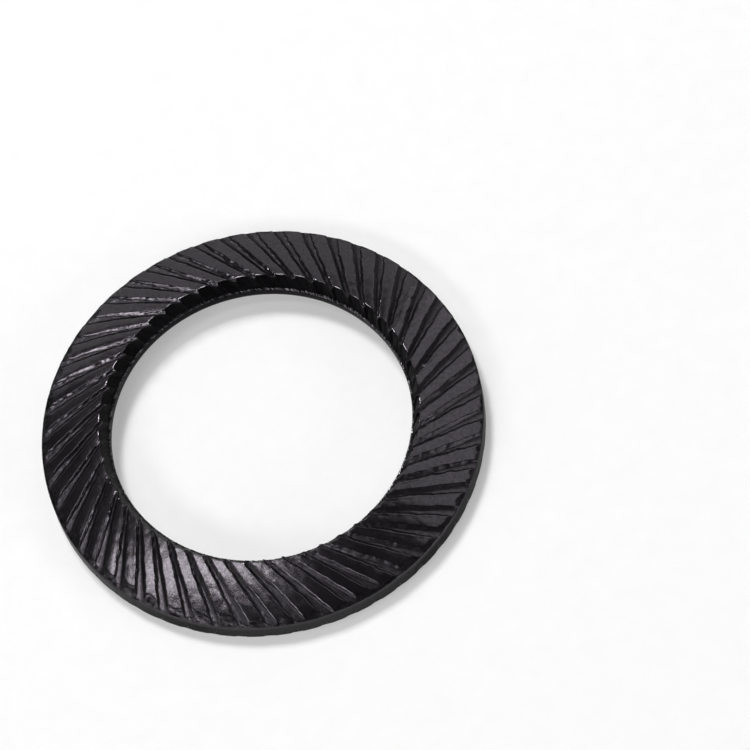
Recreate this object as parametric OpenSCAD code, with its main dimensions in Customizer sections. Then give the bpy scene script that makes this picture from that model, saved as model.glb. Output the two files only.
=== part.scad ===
// Knurled lock washer: a dished ring of spring steel with slanted serrations on both faces.
// Millimetres. +Z runs along the bore, convex face up, and the outer rim rests on Z = 0.

/* [Ring] */
// Outside diameter of the ring
outer_d = 22; // [19:0.1:27]
// Diameter of the punched bore
bore_d = 15; // [12.5:0.1:16.5]
// Height of the plain wall round the outside
rim_h = 1.1; // [0.8:0.05:1.6]
// Rise of the convex face from the outer edge to the inner edge
dish_rise = 1; // [0.6:0.05:1.4]
// Height of the whole wall round the hole
wall_h = 1.34; // [1:0.02:1.7]
// Height of the straight, burnished band at the foot of that wall
bore_band_h = 0.5; // [0.3:0.05:0.8]
// Width of the flared, torn band above the straight one
flare_w = 0.47; // [0.25:0.01:0.7]
// Size of the broken edge at the top and foot of the outer wall
edge_break = 0.08; // [0.04:0.01:0.15]

/* [Serrations] */
// Number of grooves on each face
tooth_count = 50; // [36:1:60]
// Slant of the grooves from the radius, at the inner edge of the convex face
slant_angle = 46; // [25:1:52]
// Share of the tooth pitch that a groove takes up at the rim
groove_share = 0.47; // [0.35:0.01:0.6]
// Slope of a groove's steeper flank, in degrees from the face
wall_angle = 45; // [36:1:60]
// Slope of its other flank, in degrees from the face
ramp_angle = 39; // [25:1:50]
// Lean of its floor towards the gentler flank, in degrees
floor_lean = 5; // [0:1:10]

/* [Convex face] */
// Depth of a groove at the inner edge
top_depth_in = 0.14; // [0.06:0.005:0.2]
// Depth of a groove at the outer edge
top_depth_out = 0.06; // [0.03:0.005:0.12]

/* [Concave face] */
// Depth at which a groove's floor starts from its pointed inner end
under_depth_in = 0.15; // [0.08:0.005:0.25]
// Depth of a groove at the outer rim
under_depth_out = 0.05; // [0.03:0.005:0.12]
// Width of the plain band between the bore and the ends of the grooves
plain_w = 0.75; // [0.4:0.05:1.4]

/* [Hidden] */
$fn = 150;
outer_r = outer_d / 2;
bore_r = bore_d / 2;
lip_r = bore_r + flare_w;
rest_r = outer_r - edge_break;
fade_r = bore_r + plain_w;
mid_r = (lip_r + outer_r) / 2;
top_z = rim_h + dish_rise;
foot_z = top_z - wall_h;
flare_z = foot_z + bore_band_h;
// Fall of each face for a millimetre of radius
top_fall = dish_rise / (outer_r - lip_r);
under_fall = foot_z / (rest_r - bore_r);
// A groove follows a straight line that passes the axis at this distance
line_x = lip_r * sin(slant_angle);
function turn_at(r) = acos(line_x / r);
function at(r, turn, z) = [r * cos(turn), r * sin(turn), z];
// Turn from the middle of a groove to either of its edges
half_turn = groove_share * 180 / tooth_count;
// Slope of each face across a groove
top_cross = top_fall * line_x / mid_r;
under_cross = under_fall * line_x / mid_r;
// Slopes of a groove's flanks and floor
wall = tan(wall_angle);
ramp = tan(ramp_angle);
lean = tan(floor_lean);
// Cutters run this far past a groove's ends, reach this far to each side and stand this far clear of the faces
run_out = rim_h;
side_reach = rim_h;
head_room = rim_h / 2;

// Section of the dished ring, with its straight bore, flared lip and broken outer edges
module ring_section() {
    break_top = edge_break * top_fall;
    polygon([
        [bore_r, foot_z],
        [rest_r, 0],
        [outer_r, edge_break],
        [outer_r, rim_h - edge_break],
        [rest_r, rim_h + break_top],
        [lip_r, top_z],
        [bore_r, flare_z]
    ]);
}

// Lays a section along the straight line from an inner point to an outer one
module lay(inner, outer) {
    run = outer - inner;
    flat = norm([run.x, run.y]);
    translate(outer)
        rotate([0, 0, atan2(run.y, run.x) - 90])
            rotate([atan2(run.z, flat), 0, 0])
                rotate([90, 0, 0])
                    translate([0, 0, -run_out])
                        linear_extrude(height = norm(run) + 2 * run_out)
                            children();
}

// Groove of the convex face: two flanks that draw apart towards the rim, with a floor between them
module top_groove() {
    lip_turn = turn_at(lip_r);
    rim_turn = turn_at(outer_r);
    floor_slope = lean - top_cross;
    intersection() {
        lay(at(lip_r, lip_turn - half_turn, top_z), at(outer_r, rim_turn - half_turn, rim_h))
            polygon([
                [head_room / wall, head_room * (1 - top_cross / wall)],
                [-side_reach, head_room],
                [-side_reach, -side_reach * (wall - top_cross)]
            ]);
        lay(at(lip_r, lip_turn + half_turn, top_z), at(outer_r, rim_turn + half_turn, rim_h))
            polygon([
                [-head_room / ramp, head_room * (1 + top_cross / ramp)],
                [side_reach, -side_reach * (ramp + top_cross)],
                [side_reach, head_room]
            ]);
        lay(at(lip_r, lip_turn, top_z - top_depth_in), at(outer_r, rim_turn, rim_h - top_depth_out))
            polygon([
                [-side_reach, -side_reach * floor_slope],
                [side_reach, side_reach * floor_slope],
                [side_reach, head_room],
                [-side_reach, head_room]
            ]);
    }
}

// Groove of the concave face: a wedge, pointed at its inner end, that slants the same way seen from below
module under_groove() {
    end_turn = 180 - turn_at(fade_r);
    rim_turn = 180 - turn_at(outer_r);
    end_z = under_fall * (rest_r - fade_r);
    rim_z = under_fall * (rest_r - outer_r);
    point = at(fade_r, end_turn, end_z);
    floor_slope = lean + under_cross;
    intersection() {
        lay(point, at(outer_r, rim_turn + half_turn, rim_z))
            polygon([
                [-head_room / wall, -head_room * (1 + under_cross / wall)],
                [side_reach, -head_room],
                [side_reach, side_reach * (wall + under_cross)]
            ]);
        lay(point, at(outer_r, rim_turn - half_turn, rim_z))
            polygon([
                [head_room / ramp, -head_room * (1 - under_cross / ramp)],
                [-side_reach, side_reach * (ramp - under_cross)],
                [-side_reach, -head_room]
            ]);
        lay(at(fade_r, end_turn, end_z + under_depth_in), at(outer_r, rim_turn, rim_z + under_depth_out))
            polygon([
                [-side_reach, -side_reach * floor_slope],
                [-side_reach, -2 * head_room],
                [side_reach, -2 * head_room],
                [side_reach, side_reach * floor_slope]
            ]);
    }
}

// The whole washer, pressed from one sheet
module washer() {
    color([0.1, 0.1, 0.105])
        difference() {
            rotate_extrude()
                ring_section();
            for (i = [0 : tooth_count - 1])
                rotate([0, 0, i * 360 / tooth_count]) {
                    top_groove();
                    under_groove();
                }
        }
}

washer();
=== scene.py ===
"""Looks of the knurled lock washer: a finely serrated, blackened spring-steel ring on a pale floor."""
import math

import bpy
import numpy as np
from mathutils import Matrix, Quaternion, Vector


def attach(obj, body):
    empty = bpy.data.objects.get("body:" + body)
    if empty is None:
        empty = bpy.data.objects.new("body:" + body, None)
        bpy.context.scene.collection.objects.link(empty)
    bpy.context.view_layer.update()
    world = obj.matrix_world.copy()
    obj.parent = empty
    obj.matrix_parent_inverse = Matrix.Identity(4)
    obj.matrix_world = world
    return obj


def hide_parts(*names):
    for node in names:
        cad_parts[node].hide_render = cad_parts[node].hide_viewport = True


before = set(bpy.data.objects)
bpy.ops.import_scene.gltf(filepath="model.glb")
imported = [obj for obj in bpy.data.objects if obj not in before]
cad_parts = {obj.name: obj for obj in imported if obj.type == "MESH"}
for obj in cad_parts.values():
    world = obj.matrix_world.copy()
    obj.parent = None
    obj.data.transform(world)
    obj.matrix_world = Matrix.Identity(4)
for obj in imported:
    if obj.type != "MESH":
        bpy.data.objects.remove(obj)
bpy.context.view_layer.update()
MM = 0.001

# Sizes of the washer in millimetres, as in the part's source
OUTER_R = 11.0
BORE_R = 7.5
LIP_R = 7.97
RIM_H = 1.1
TOP_Z = 2.1
FOOT_Z = 0.76
FLARE_Z = 1.26
EDGE_BREAK = 0.08
REST_R = OUTER_R - EDGE_BREAK
TEETH = 50
SLANT = math.radians(46)
LINE_X = LIP_R * math.sin(SLANT)
PITCH = 2 * math.pi / TEETH
TOP_DEPTH_IN = 0.14
TOP_DEPTH_OUT = 0.06
UNDER_DEPTH_IN = 0.15
UNDER_DEPTH_OUT = 0.05
PLAIN_W = 0.75
FADE_R = BORE_R + PLAIN_W

# Half of a groove as a share of the pitch, and the slopes of its flanks and floor
HALF_GROOVE = 0.235
WALL_SLOPE = 1.0
RAMP_SLOPE = 0.81
FLOOR_SLOPE = 0.0875

# Fine shape that only the scene has, in millimetres: crowned lands, a bulged face, rounded corners, burrs,
# metal pushed out at the lip, the ledge, and where crowns and burrs die out towards the rim
LAND_CROWN = 0.008
FACE_BULGE = 0.05
CORNER_SOFT = 0.018
EDGE_SOFT = 0.012
WALL_BURR = 0.010
RAMP_BURR = 0.003
BURR_REACH = 0.035
LIP_PUSH = 0.11
LEDGE_W = 0.085
LEDGE_RISE = 0.11
LEDGE_Z = FLARE_Z + LEDGE_RISE
MIDDLE_R = 9.4
CALM_R = 10.4
CALM_W = 0.4

# How far the first rows of a face keep from its corners, in millimetres
INSET = 0.05

# Ragged margin at the rim: where it starts, how far that sways round the ring and how steeply it falls
MARGIN_R = 10.74
MARGIN_SWAY = 0.16
MARGIN_AZIMUTH = math.radians(225)
MARGIN_FALL = 0.26

# Painted shade in a groove, as lost gloss: at the foot of its wall, on its floor and, added to that, on its
# ramp side
CREASE_SHADE = 0.95
CREASE_REACH = 0.040
# On the floor and the ramp the lost gloss is partly rougher metal as well as painted shade
FLOOR_DULL_AND_SHADE = 0.2
RAMP_DULL_AND_SHADE = 0.5

rng = np.random.default_rng(14)


def spread(shape, limit):
    """Random numbers about 0, cut off at the limit."""
    return rng.standard_normal(shape).clip(-limit, limit)


def smooth(x):
    """Smooth step from 0 to 1."""
    x = np.clip(x, 0, 1)
    return x * x * (3 - 2 * x)


def blend(a, b, t):
    """Value on the way from a to b."""
    return a + (b - a) * t


def along(r):
    """Distance along a groove's straight line at radius r."""
    return np.sqrt(r * r - LINE_X * LINE_X)


Y_LIP = along(LIP_R)
Y_RIM = along(OUTER_R)
Y_FADE = along(FADE_R)


def value_noise(x, y, seed, wrap):
    """Smooth noise from -1 to 1 on a lattice that repeats after wrap cells in x."""
    table = np.random.default_rng(seed).uniform(-1, 1, (wrap, 64))
    xi, yi = np.floor(x).astype(int), np.floor(y).astype(int)
    fx, fy = smooth(x - xi), smooth(y - yi)
    x0, x1, y0, y1 = xi % wrap, (xi + 1) % wrap, yi % 64, (yi + 1) % 64
    low = table[x0, y0] * (1 - fx) + table[x1, y0] * fx
    high = table[x0, y1] * (1 - fx) + table[x1, y1] * fx
    return low * (1 - fy) + high * fy


def ring_noise(arc, cells, seed):
    """Smooth noise round the ring, with arc as a share of the whole turn."""
    return value_noise(arc * cells, arc * 0, seed, cells)


# Columns of the mesh follow the grooves: a fixed set of places across each tooth
ACROSS = np.array([-0.31, -0.265, -0.235, -0.212, -0.185, -0.155, -0.12, -0.085, -0.045, -0.005, 0.035, 0.07,
                   0.105, 0.14, 0.172, 0.205, 0.235, 0.265, 0.31, 0.38, 0.46, 0.54, 0.62])
column_u = np.tile(ACROSS, TEETH)
column_k = np.repeat(np.arange(TEETH), len(ACROSS))
cols = len(column_u)

# Every tooth differs a little in depth, in where its flanks lie and in how it tilts
TOOTH_LIMIT = 1.6
tooth_deep = 1.16 + 0.10 * spread(TEETH, TOOTH_LIMIT)
tooth_wall = 0.016 * spread(TEETH, TOOTH_LIMIT)
tooth_ramp = 0.016 * spread(TEETH, TOOTH_LIMIT)
tooth_tilt = 0.006 * spread(TEETH, TOOTH_LIMIT)


def soft_min(a, b, soft):
    """Smaller of two heights, with the corner between them rounded."""
    h = np.clip(0.5 + 0.5 * (b - a) / soft, 0, 1)
    return b + (a - b) * h - soft * h * (1 - h)


def soft_max(a, b, soft):
    """Larger of two heights, with the corner between them rounded."""
    return -soft_min(-a, -b, soft)


def hat(x, centre, reach):
    """1 at the centre, falling to 0 at the reach on both sides."""
    return np.clip(1 - np.abs(x - centre) / reach, 0, 1)


def edge_shift(r, jitter, seed):
    """Wander of a groove's edge at radius r, as a share of the pitch."""
    y = along(np.maximum(r, LIP_R))
    slow = value_noise(column_k, y / 0.45, seed, TEETH)
    fine = value_noise(column_k, y / 0.15, seed + 1, TEETH)
    return jitter[column_k] + 0.030 * slow + 0.020 * fine


def columns_at(r):
    """Places of the columns and of the two wavy groove edges at radius r, as shares of the pitch."""
    wall, ramp = edge_shift(r, tooth_wall, 21), edge_shift(r, tooth_ramp, 31)
    s = column_u + wall * hat(column_u, -HALF_GROOVE, 0.23) + ramp * hat(column_u, HALF_GROOVE, 0.23)
    return s, wall - HALF_GROOVE, ramp + HALF_GROOVE


def groove_depth(r, s, wall_edge, ramp_edge):
    """Depth of the convex-face grooves below the face along a row, and the lost gloss there: painted shade,
    partly rougher metal.
    """
    y = along(np.maximum(r, LIP_R))
    t = np.clip((y - Y_LIP) / (Y_RIM - Y_LIP), 0, 1)
    floor_z = TOP_Z - TOP_DEPTH_IN + (RIM_H - TOP_DEPTH_OUT - TOP_Z + TOP_DEPTH_IN) * t
    cone_z = RIM_H + (TOP_Z - RIM_H) / (OUTER_R - LIP_R) * (OUTER_R - np.maximum(r, LIP_R))
    wide = PITCH * y
    wall = WALL_SLOPE * (s - wall_edge) * wide
    ramp = RAMP_SLOPE * (ramp_edge - s) * wide
    floor = (cone_z - floor_z) * tooth_deep[column_k] + FLOOR_SLOPE * s * wide
    depth = soft_min(soft_min(wall, floor, CORNER_SOFT), ramp, CORNER_SOFT)
    past_wall = wall - np.minimum(floor, ramp)
    # Lost gloss: painted shade in the crease at the wall's foot, and on the floor and ramp partly rougher
    # metal, partly painted shade
    worn = (FLOOR_DULL_AND_SHADE + RAMP_DULL_AND_SHADE * smooth((s + 0.03) / 0.08)) * smooth(past_wall / 0.04)
    groove_shade = np.maximum(CREASE_SHADE * np.exp(-(past_wall / CREASE_REACH) ** 2), worn)
    return soft_max(depth, np.zeros(cols), EDGE_SOFT), groove_shade * np.clip(depth / 0.02, 0, 1)


def burr(r, s, wall_edge, ramp_edge):
    """Height of the metal pushed up along a groove's edges, in millimetres."""
    y = along(np.maximum(r, LIP_R))
    wide = PITCH * y
    strong = 0.5 + 0.5 * value_noise(column_k, y / 0.3, 41, TEETH)
    weak = 0.5 + 0.5 * value_noise(column_k, y / 0.3, 42, TEETH)
    high = WALL_BURR * strong * np.exp(-((s - wall_edge) * wide / BURR_REACH) ** 2)
    return high + RAMP_BURR * weak * np.exp(-((s - ramp_edge) * wide / BURR_REACH) ** 2)


def land_shape(u):
    """Crown of the land between two grooves, from 0 at its middle to -1 at its ends."""
    t = np.where(u < -HALF_GROOVE, u + 1, u)
    v = np.clip((t - 0.5) / (0.5 - HALF_GROOVE), -1, 1)
    return np.where(t >= HALF_GROOVE, -v * v, -1.0)


def under_half(r):
    """Half of a concave-face groove at radius r as a share of the pitch: it narrows to a point inwards."""
    y = along(np.maximum(r, FADE_R))
    return HALF_GROOVE * Y_RIM / y * (y - Y_FADE) / (Y_RIM - Y_FADE)


def under_columns(r):
    """Places of the columns on the concave face, which keep to the edges of its grooves."""
    half = max(float(under_half(r)), 0.05)
    land = (1 - 2 * half) / (1 - 2 * HALF_GROOVE)
    inside = column_u * half / HALF_GROOVE
    outside = np.sign(column_u) * half + (column_u - np.sign(column_u) * HALF_GROOVE) * land
    return np.where(np.abs(column_u) <= HALF_GROOVE, inside, outside)


def under_rise(s, r):
    """Height of the concave-face grooves above the plain surface, in millimetres."""
    y = along(np.maximum(r, FADE_R))
    t = (y - Y_FADE) / (Y_RIM - Y_FADE)
    wide = PITCH * y
    half = under_half(r)
    floor = UNDER_DEPTH_OUT + (UNDER_DEPTH_IN - UNDER_DEPTH_OUT) * (1 - t)
    floor = floor * tooth_deep[column_k] - FLOOR_SLOPE * s * wide
    flanks = np.minimum(WALL_SLOPE * (half - s) * wide, RAMP_SLOPE * (s + half) * wide)
    return np.clip(np.minimum(flanks, floor), 0, None)


def turn_at(s, r):
    """Angle about the axis of every column at radius r."""
    return (column_k + s) * PITCH + np.arccos(LINE_X / r)


def margin_drop(r, arc):
    """Drop of the ragged, rolled-over margin that punching leaves at the rim, in millimetres."""
    start = MARGIN_R - MARGIN_SWAY * np.cos(2 * math.pi * arc - MARGIN_AZIMUTH)
    start = start + 0.09 * ring_noise(arc, 110, 51) + 0.08 * ring_noise(arc, 300, 52)
    return soft_max(MARGIN_FALL * (r - start), np.zeros(cols), 0.02)


crown = land_shape(column_u)
rows = []


def add_row(r, z, s, kind):
    """Adds one row of points: r, z and s are numbers or one value for each column."""
    rows.append([np.broadcast_to(np.asarray(v, float), (cols,)).copy() for v in (r, z, s)] + [kind])


def face_z(r):
    """Convex face, a little bulged between the lip and the rim."""
    u = np.clip((r - LIP_R) / (OUTER_R - LIP_R), 0, 1)
    return RIM_H + (TOP_Z - RIM_H) / (OUTER_R - LIP_R) * (OUTER_R - r) + FACE_BULGE * 4 * u * (1 - u)


# Wavy lip, where the grooves run out and have pushed some metal into the hole
lip_s, lip_wall, lip_ramp = columns_at(np.full(cols, LIP_R))
lip_drop, _ = groove_depth(np.full(cols, LIP_R), lip_s, lip_wall, lip_ramp)
lip_arc = turn_at(lip_s, LIP_R) / (2 * math.pi)
lip_jag = ring_noise(lip_arc, 150, 61) + 0.7 * ring_noise(lip_arc, 380, 62)
flare_slope = (LIP_R - BORE_R) / (TOP_Z - FLARE_Z)
tooth_push = LIP_PUSH * (1 + 0.35 * spread(TEETH, TOOTH_LIMIT))
push = tooth_push[column_k] * np.clip(lip_drop / TOP_DEPTH_IN, 0, 1.2)
lip_r = LIP_R - 0.9 * lip_drop * flare_slope - push + 0.014 * lip_jag
lip_z = TOP_Z - lip_drop

# Convex face, from the rim to the lip
TOP_ROWS = 49
masks, margins, groove_shades = [], [], []
for i in range(TOP_ROWS):
    t = i / (TOP_ROWS - 1)
    t = t - 0.35 * math.sin(2 * math.pi * t) / (2 * math.pi)
    r = OUTER_R - INSET + (lip_r + 0.012 - OUTER_R + INSET) * t
    s, wall_edge, ramp_edge = columns_at(r)
    depth, groove_shade = groove_depth(r, s, wall_edge, ramp_edge)
    rolled = margin_drop(r, turn_at(s, r) / (2 * math.pi))
    drop = soft_max(depth, rolled, 0.01)
    fade = 1 - smooth((r - CALM_R) / CALM_W)
    z = face_z(r) - drop + LAND_CROWN * crown * (along(np.maximum(r, LIP_R)) / along(MIDDLE_R)) * fade
    z = z + burr(r, s, wall_edge, ramp_edge) * fade
    z = z + tooth_tilt[column_k] * np.where(depth < 0.004, column_u - 0.5, 0) * fade
    masks.append(np.clip(depth / 0.08, 0, 1))
    margins.append(smooth((rolled - depth) / 0.02))
    groove_shades.append(groove_shade)
    add_row(r, z, s, "top")

# Flared wall under the lip, rough where the punch tore it, with a bright ragged ledge at its foot
LEDGE_LIMIT = 1.8
foot_jag = spread(cols, LEDGE_LIMIT)
foot_rise_jag = spread(cols, LEDGE_LIMIT)
ledge_r = BORE_R + LEDGE_W + 0.016 * foot_jag
ledge_z = LEDGE_Z + 0.018 * foot_rise_jag
for t in (0.05, 0.14, 0.3, 0.48, 0.66, 0.84, 0.96):
    add_row(blend(lip_r, ledge_r, t), blend(lip_z, ledge_z, t), blend(lip_s, column_u, t), "flare")
for w, sink in ((0.85, 0.002), (0.4, -0.004), (0.06, 0.014)):
    add_row(blend(BORE_R, ledge_r, w), ledge_z - sink, column_u, "ledge")

# Straight bore
for t in (0.12, 0.5, 0.95):
    add_row(BORE_R, blend(LEDGE_Z, FOOT_Z + INSET, t), column_u, "bore")
add_row(BORE_R + 0.012, FOOT_Z + 0.015, column_u, "foot")

# Concave face, from the bore to the rim: its grooves slant the other way in plan, so its columns do too
UNDER_ROWS = 13
UNDER_TEETH = 14
UNDER_TURN = math.pi - UNDER_TEETH * PITCH
SEAM_TEETH = 5
SEAM = SEAM_TEETH * len(ACROSS)
under_fall = FOOT_Z / (REST_R - BORE_R)
for i in range(UNDER_ROWS):
    t = i / (UNDER_ROWS - 1)
    r = BORE_R + INSET + (REST_R - 0.03 - BORE_R - INSET) * t
    s = under_columns(r)
    add_row(r, FOOT_Z - under_fall * (r - BORE_R) + under_rise(s, r), s, "under")

# Foot of the rim, outer wall and its top edge
rim_s = np.roll(rows[0][2], SEAM)
rim_z = np.roll(rows[0][1], SEAM)
foot_s = under_columns(OUTER_R)
foot_rise = under_rise(foot_s, REST_R)
for a in (0, 40, 75):
    c, q = math.cos(math.radians(a)), math.sin(math.radians(a))
    add_row(REST_R + EDGE_BREAK * q, foot_rise + EDGE_BREAK * (1 - c), foot_s, "under_edge")
for t in (0.1, 0.4, 0.75, 1.0):
    low = foot_rise + EDGE_BREAK
    add_row(OUTER_R, low + (rim_z - INSET - low) * t, rim_s, "rim")
add_row(OUTER_R - 0.016, rim_z - 0.022, rim_s, "rim")

count = len(rows)
R, Z, S = (np.array([row[n] for row in rows]) for n in range(3))
kinds = [row[3] for row in rows]
kind_is = {name: np.array([k == name for k in kinds])[:, None] for name in set(kinds)}


def turns():
    """Angle about the axis of every point of the mesh."""
    up = (column_k + S) * PITCH + np.arccos(LINE_X / R)
    around = (column_k - SEAM_TEETH + S) * PITCH + np.arccos(LINE_X / R)
    down = (column_k + S) * PITCH + UNDER_TURN - np.arccos(LINE_X / R)
    return np.where(kind_is["under"] | kind_is["under_edge"], down, np.where(kind_is["rim"], around, up))


# Uneven pressing: slow swells on the faces, torn flanks and a rough flare
turn = turns()
arc = turn / (2 * math.pi)
swell = value_noise(arc * 260, R * 3.1, 3, 260) * 0.004 + value_noise(arc * 620, R * 6.0, 4, 620) * 0.0025
Z += np.where(kind_is["top"], swell, 0)
Z += np.where(kind_is["under"], swell * 1.2, 0)
flank = np.where((column_u > -0.23) & (column_u < -0.08), 1.0, 0.0)
flank = np.maximum(flank, np.where((column_u > 0.05) & (column_u < 0.23), 0.8, 0.0))
flank = np.maximum(flank, np.where(np.abs(column_u) < 0.08, 0.3, 0.0))
grain = spread(R.shape, 2)
inner = np.clip((OUTER_R - 0.3 - R) / (OUTER_R - LIP_R), 0, 1)
patch = value_noise(arc * 420, along(np.maximum(R, LIP_R)) / 0.11, 5, 420)
rough = (0.009 * grain + 0.032 * patch) * flank[None, :] * (0.2 + inner)
Z += np.where(kind_is["top"], rough, 0)
ragged = np.zeros(R.shape)
ragged[:TOP_ROWS] = margins
speck = value_noise(arc * 520, R / 0.11, 9, 520)
Z -= 0.016 * ragged * np.abs(speck)
tear = value_noise(arc * 700, Z * 6, 7, 700) + 0.5 * spread(R.shape, 2)
R += np.where(kind_is["flare"], 0.016 * tear, 0)
R += np.where(kind_is["rim"], -0.006 * np.abs(value_noise(arc * 500, Z * 5, 8, 500)), 0)

# Softens the corners of the section
for times, pair in ((2, {"under", "foot"}), (1, {"bore", "foot"})):
    for _ in range(times):
        for keep in (R, Z):
            soft = 0.5 * keep + 0.25 * (np.roll(keep, -1, 0) + np.roll(keep, 1, 0))
            for i in range(count):
                if {kinds[i], kinds[(i + 1) % count]} == pair or {kinds[i], kinds[i - 1]} == pair:
                    keep[i] = soft[i]

R = np.clip(R, BORE_R - 0.02, OUTER_R)
Z = np.clip(Z, 0.0, TOP_Z + 0.012)
turn = turns()
verts = np.stack([R * np.cos(turn), R * np.sin(turn), Z], -1).reshape(-1, 3) * MM
i, j = np.meshgrid(np.arange(count), np.arange(cols), indexing="ij")
i2, j2 = (i + 1) % count, (j + 1) % cols
shift = np.where(i == count - 1, SEAM, 0)
row, row2 = i * cols, i2 * cols
quads = np.stack([row + j, row2 + (j - shift) % cols, row2 + (j2 - shift) % cols, row + j2], -1)
quads = quads.reshape(-1, 4)

mesh = bpy.data.meshes.new("washer_body")
mesh.from_pydata(verts.tolist(), [], quads.tolist())
mesh.validate()
groove_mask = np.zeros((count, cols))
groove_mask[:TOP_ROWS] = np.array(masks)
DULL = {"top": 0.0, "flare": 1.0, "ledge": 0.0, "bore": 1.0, "foot": 1.0}
DULL |= {"under": 0.1, "under_edge": 0.5, "rim": 0.62}
torn_mask = np.array([DULL[k] for k in kinds])[:, None] * np.ones((1, cols))
beads = np.where(rng.random((1, cols)) < 0.45, 0.9, 0.0)
torn_mask = np.where(kind_is["ledge"], beads, torn_mask)
# The convex face's mask also carries the painted shade of its grooves, beside its rolled margin
torn_mask[:TOP_ROWS] = np.maximum((0.72 + 0.35 * speck[:TOP_ROWS]) * np.array(margins), np.array(groove_shades))
torn_mask[TOP_ROWS - 1] = np.maximum(torn_mask[TOP_ROWS - 1], 0.4)
# The torn mask holds duller torn metal and also the grooves' painted shade, both as lost gloss
for name, data in (("groove", groove_mask), ("torn", torn_mask)):
    layer = mesh.attributes.new(name, "FLOAT", "POINT")
    layer.data.foreach_set("value", np.ascontiguousarray(data.reshape(-1), dtype=np.float32))
mesh.polygons.foreach_set("use_smooth", np.ones(len(mesh.polygons), dtype=bool))

# The lip is a sharp edge, worn round in places
ends = np.empty(2 * len(mesh.edges), dtype=np.int32)
mesh.edges.foreach_get("vertices", ends)
ends = ends.reshape(-1, 2)
on_lip = (ends // cols == TOP_ROWS - 1).all(1)
worn = ring_noise(arc[TOP_ROWS - 1], 130, 71) + np.cos(turn[TOP_ROWS - 1] - math.radians(75))
sharp = mesh.attributes.new("sharp_edge", "BOOLEAN", "EDGE")
sharp.data.foreach_set("value", on_lip & (worn[ends[:, 0] % cols] < 0.75))
mesh.update()
washer = bpy.data.objects.new("washer_body", mesh)
bpy.context.scene.collection.objects.link(washer)


def node(tree, kind, place, **values):
    """Adds a shader node and sets its inputs by name."""
    n = tree.nodes.new(kind)
    n.location = place
    for key, value in values.items():
        n.inputs[key.replace("_", " ")].default_value = value
    return n


def math_node(tree, operation, place, *values):
    """Adds a Math node and gives its output: each value is a number or an output to link."""
    n = node(tree, "ShaderNodeMath", place)
    n.operation = operation
    for socket, value in zip(n.inputs, values):
        if isinstance(value, bpy.types.NodeSocket):
            tree.links.new(value, socket)
        else:
            socket.default_value = value
    return n.outputs["Value"]


def noise(tree, place, scale, detail, roughness):
    """Adds noise in the object's own space and gives its strength."""
    coords = node(tree, "ShaderNodeTexCoord", (place[0] - 300, place[1]))
    n = node(tree, "ShaderNodeTexNoise", place, Scale=scale, Detail=detail, Roughness=roughness)
    tree.links.new(coords.outputs["Object"], n.inputs["Vector"])
    return n.outputs["Fac"]


def ranged(tree, place, value, low, high):
    """Maps the middle of a noise to the range from low to high."""
    n = node(tree, "ShaderNodeMapRange", place, From_Min=0.3, From_Max=0.7, To_Min=low, To_Max=high)
    tree.links.new(value, n.inputs["Value"])
    return n.outputs["Result"]


DARK_AT = 0.3


def two_tone(tree, place, value, dark, pale, pale_at):
    """Colour ramp from a dark to a pale tone."""
    n = node(tree, "ShaderNodeValToRGB", place)
    for stop, at, colour in zip(n.color_ramp.elements, (DARK_AT, pale_at), (dark, pale)):
        stop.position = at
        stop.color = (*colour, 1)
    tree.links.new(value, n.inputs["Fac"])
    return n.outputs["Color"]


def attribute(tree, place, name):
    """Strength of one of the mesh's own attributes."""
    n = node(tree, "ShaderNodeAttribute", place)
    n.attribute_name = name
    return n.outputs["Fac"]


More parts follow.
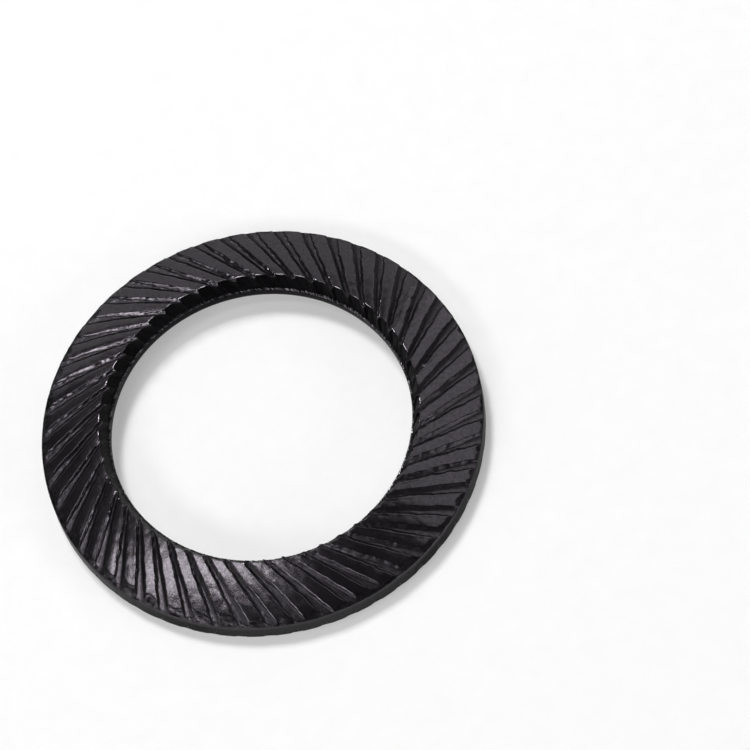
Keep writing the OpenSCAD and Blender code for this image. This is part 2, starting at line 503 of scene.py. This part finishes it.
def black_oxide():
    """Blackened spring steel: satin black, faint violet cast, fine grain, duller torn places, painted shade.
    """
    mat = bpy.data.materials.new("black_oxide_steel")
    mat.use_nodes = True
    tree = mat.node_tree
    tree.nodes.clear()
    link = tree.links.new
    out = node(tree, "ShaderNodeOutputMaterial", (900, 0))
    bsdf = node(tree, "ShaderNodeBsdfPrincipled", (600, 0), IOR=2.08)
    bsdf.inputs["Specular Tint"].default_value = (0.97, 0.885, 1.0, 1)
    grain_fine = noise(tree, (-800, 200), 11000.0, 4.0, 0.6)
    grain_wide = noise(tree, (-800, -100), 700.0, 3.0, 0.55)
    speckle = noise(tree, (-800, -900), 13000.0, 2.0, 0.6)
    blotch = noise(tree, (-800, 420), 7000.0, 2.0, 0.6)
    torn = attribute(tree, (-800, -400), "torn")
    groove = attribute(tree, (-800, -600), "groove")
    base = two_tone(tree, (-400, 250), grain_wide, (0.0028, 0.0025, 0.0029), (0.0066, 0.0060, 0.0068), 0.72)
    link(base, bsdf.inputs["Base Color"])

    # Roughness: uneven, and more in torn places and grooves
    rough = ranged(tree, (-400, -50), grain_wide, 0.14, 0.18)
    rough = math_node(tree, "MULTIPLY_ADD", (-150, -250), torn, 0.22, rough)
    rough = math_node(tree, "MULTIPLY_ADD", (60, -300), groove, 0.03, rough)
    link(rough, bsdf.inputs["Roughness"])

    # Gloss: mottled, and lost in torn places and as painted shade in the grooves; the extra loss at a slant
    # is painted shade
    slant_shade = node(tree, "ShaderNodeLayerWeight", (-800, 600), Blend=0.5).outputs["Facing"]
    slant_shade = math_node(tree, "MULTIPLY", (-600, 600), slant_shade, slant_shade)
    slant_shade = math_node(tree, "MULTIPLY_ADD", (-400, 600), slant_shade, 1.6, 1.0)
    lost = math_node(tree, "MULTIPLY", (-200, 600), slant_shade, torn)
    lost.node.use_clamp = True
    kept = math_node(tree, "MULTIPLY_ADD", (0, 600), lost, -0.98, 1.0)
    mottle = ranged(tree, (-200, 420), blotch, 0.36, 0.64)
    gloss = math_node(tree, "MULTIPLY", (200, 450), kept, mottle)
    link(gloss, bsdf.inputs["Specular IOR Level"])

    # Grain that is finer than the mesh
    bump_wide = node(tree, "ShaderNodeBump", (60, -550), Strength=0.08, Distance=0.00002)
    link(grain_wide, bump_wide.inputs["Height"])
    bump = node(tree, "ShaderNodeBump", (300, -450), Strength=0.8, Distance=0.000005)
    link(grain_fine, bump.inputs["Height"])
    link(bump_wide.outputs["Normal"], bump.inputs["Normal"])
    bump_flank = node(tree, "ShaderNodeBump", (450, -650), Distance=0.000005)
    link(groove, bump_flank.inputs["Strength"])
    link(speckle, bump_flank.inputs["Height"])
    link(bump.outputs["Normal"], bump_flank.inputs["Normal"])
    link(bump_flank.outputs["Normal"], bsdf.inputs["Normal"])
    link(bsdf.outputs["BSDF"], out.inputs["Surface"])
    return mat


mesh.materials.append(black_oxide())
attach(washer, "root")
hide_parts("washer")

# Share of plain white in the floor
FLOOR_WHITE = 0.3


def floor_material():
    """White floor that keeps the shadow, mixed with plain white for camera, glossy and transmission rays."""
    mat = bpy.data.materials.new("pale_floor")
    mat.use_nodes = True
    tree = mat.node_tree
    tree.nodes.clear()
    link = tree.links.new
    out = node(tree, "ShaderNodeOutputMaterial", (600, 0))
    diffuse = node(tree, "ShaderNodeBsdfDiffuse", (0, 100))
    grain = noise(tree, (-600, 100), 900.0, 5.0, 0.6)
    link(two_tone(tree, (-350, 100), grain, (0.93,) * 3, (0.97,) * 3, 0.7), diffuse.inputs["Color"])
    white = node(tree, "ShaderNodeEmission", (0, -100), Strength=1.0)
    path = node(tree, "ShaderNodeLightPath", (-600, 500))
    seen = path.outputs["Is Camera Ray"]
    for kind in ("Is Glossy Ray", "Is Transmission Ray"):
        seen = math_node(tree, "MAXIMUM", (-350, 500), seen, path.outputs[kind])
    mix = node(tree, "ShaderNodeMixShader", (300, 100))
    link(math_node(tree, "MULTIPLY", (-100, 400), seen, FLOOR_WHITE), mix.inputs["Fac"])
    link(diffuse.outputs["BSDF"], mix.inputs[1])
    link(white.outputs["Emission"], mix.inputs[2])
    link(mix.outputs["Shader"], out.inputs["Surface"])
    return mat


FLOOR_HALF = 1.5
floor_mesh = bpy.data.meshes.new("floor")
corners = [(x * FLOOR_HALF, y * FLOOR_HALF, 0) for x, y in ((-1, -1), (1, -1), (1, 1), (-1, 1))]
floor_mesh.from_pydata(corners, [], [(0, 1, 2, 3)])
floor = bpy.data.objects.new("floor", floor_mesh)
floor_mesh.materials.append(floor_material())
bpy.context.scene.collection.objects.link(floor)

# Camera, fitted to the photograph's outline of the washer
CENTRE_PX = (261.66, 426.07)
SCALE_PX = 223.33
DISTANCE = 30.0
ELEVATION = math.radians(61.23)
ROLL = math.radians(15.15)
FRAME_PX = 750
SENSOR_MM = 36


def place_camera():
    """Looks at the washer as the photograph does."""
    focal = SCALE_PX * DISTANCE
    middle = FRAME_PX / 2
    ray = np.array([(CENTRE_PX[0] - middle) / focal, (CENTRE_PX[1] - middle) / focal, 1.0])
    origin = ray * DISTANCE * OUTER_R
    up, level = math.sin(ELEVATION), math.cos(ELEVATION)
    cos_roll, sin_roll = math.cos(ROLL), math.sin(ROLL)
    axes = []
    for x, y, z in ((1, 0, 0), (0, -up, level), (0, -level, -up)):
        axes.append((cos_roll * x + sin_roll * y, -sin_roll * x + cos_roll * y, z))
    axes = np.array(axes)
    place = -axes @ origin
    place[2] += RIM_H
    right, down, ahead = axes[:, 0], axes[:, 1], axes[:, 2]
    data = bpy.data.cameras.new("camera")
    data.sensor_width = SENSOR_MM
    data.lens = focal * SENSOR_MM / FRAME_PX
    data.clip_start = 0.01
    data.clip_end = 10
    cam = bpy.data.objects.new("camera", data)
    pose = Matrix.Identity(4)
    for a in range(3):
        pose[a] = (right[a], -down[a], -ahead[a], place[a] * MM)
    cam.matrix_world = pose
    bpy.context.scene.collection.objects.link(cam)
    bpy.context.scene.camera = cam


place_camera()


def softbox(name, place, aim, size, power, roll):
    """A rectangular lamp that points from place to aim, rolled about its axis."""
    data = bpy.data.lights.new(name, "AREA")
    data.shape = "RECTANGLE"
    data.size, data.size_y = size
    data.energy = power
    lamp = bpy.data.objects.new(name, data)
    lamp.location = place
    direction = Vector(aim) - Vector(place)
    facing = direction.to_track_quat("-Z", "Y") @ Quaternion((0, 0, 1), math.radians(roll))
    lamp.rotation_euler = facing.to_euler()
    bpy.context.scene.collection.objects.link(lamp)


def panel(name, azimuth, elevation, distance, size, radiance, roll=0):
    """A softbox at a direction from the washer, set by how bright its face is."""
    az, el = math.radians(azimuth), math.radians(elevation)
    flat = distance * math.cos(el)
    place = (flat * math.cos(az), flat * math.sin(az), distance * math.sin(el))
    softbox(name, place, (0, 0, 0), size, radiance * math.pi * size[0] * size[1], roll)


panel("back_key", 106, 58, 0.65, (0.17, 0.17), 33.0)
panel("key", 178, 70, 0.65, (0.10, 0.36), 4.1, -8)
panel("side", 220, 36, 0.75, (0.62, 0.13), 6.6)
panel("low_left", 190, 16, 0.75, (0.40, 0.10), 3.0)
panel("front", 320, 18, 0.65, (0.30, 0.14), 5.6)
panel("right_high", 31, 48, 1.0, (0.80, 0.85), 0.455)
panel("far_wall", 84, 22, 0.9, (1.50, 0.42), 0.33)

world = bpy.data.worlds.new("studio")
world.use_nodes = True
bpy.context.scene.world = world
tree = world.node_tree
tree.nodes.clear()
link = tree.links.new
out = node(tree, "ShaderNodeOutputWorld", (600, 0))
sky = node(tree, "ShaderNodeBackground", (300, 0), Strength=0.037)
link(sky.outputs["Background"], out.inputs["Surface"])
sky.inputs["Color"].default_value = (0.8, 0.8, 0.8, 1)

bpy.context.scene.view_settings.view_transform = "Standard"
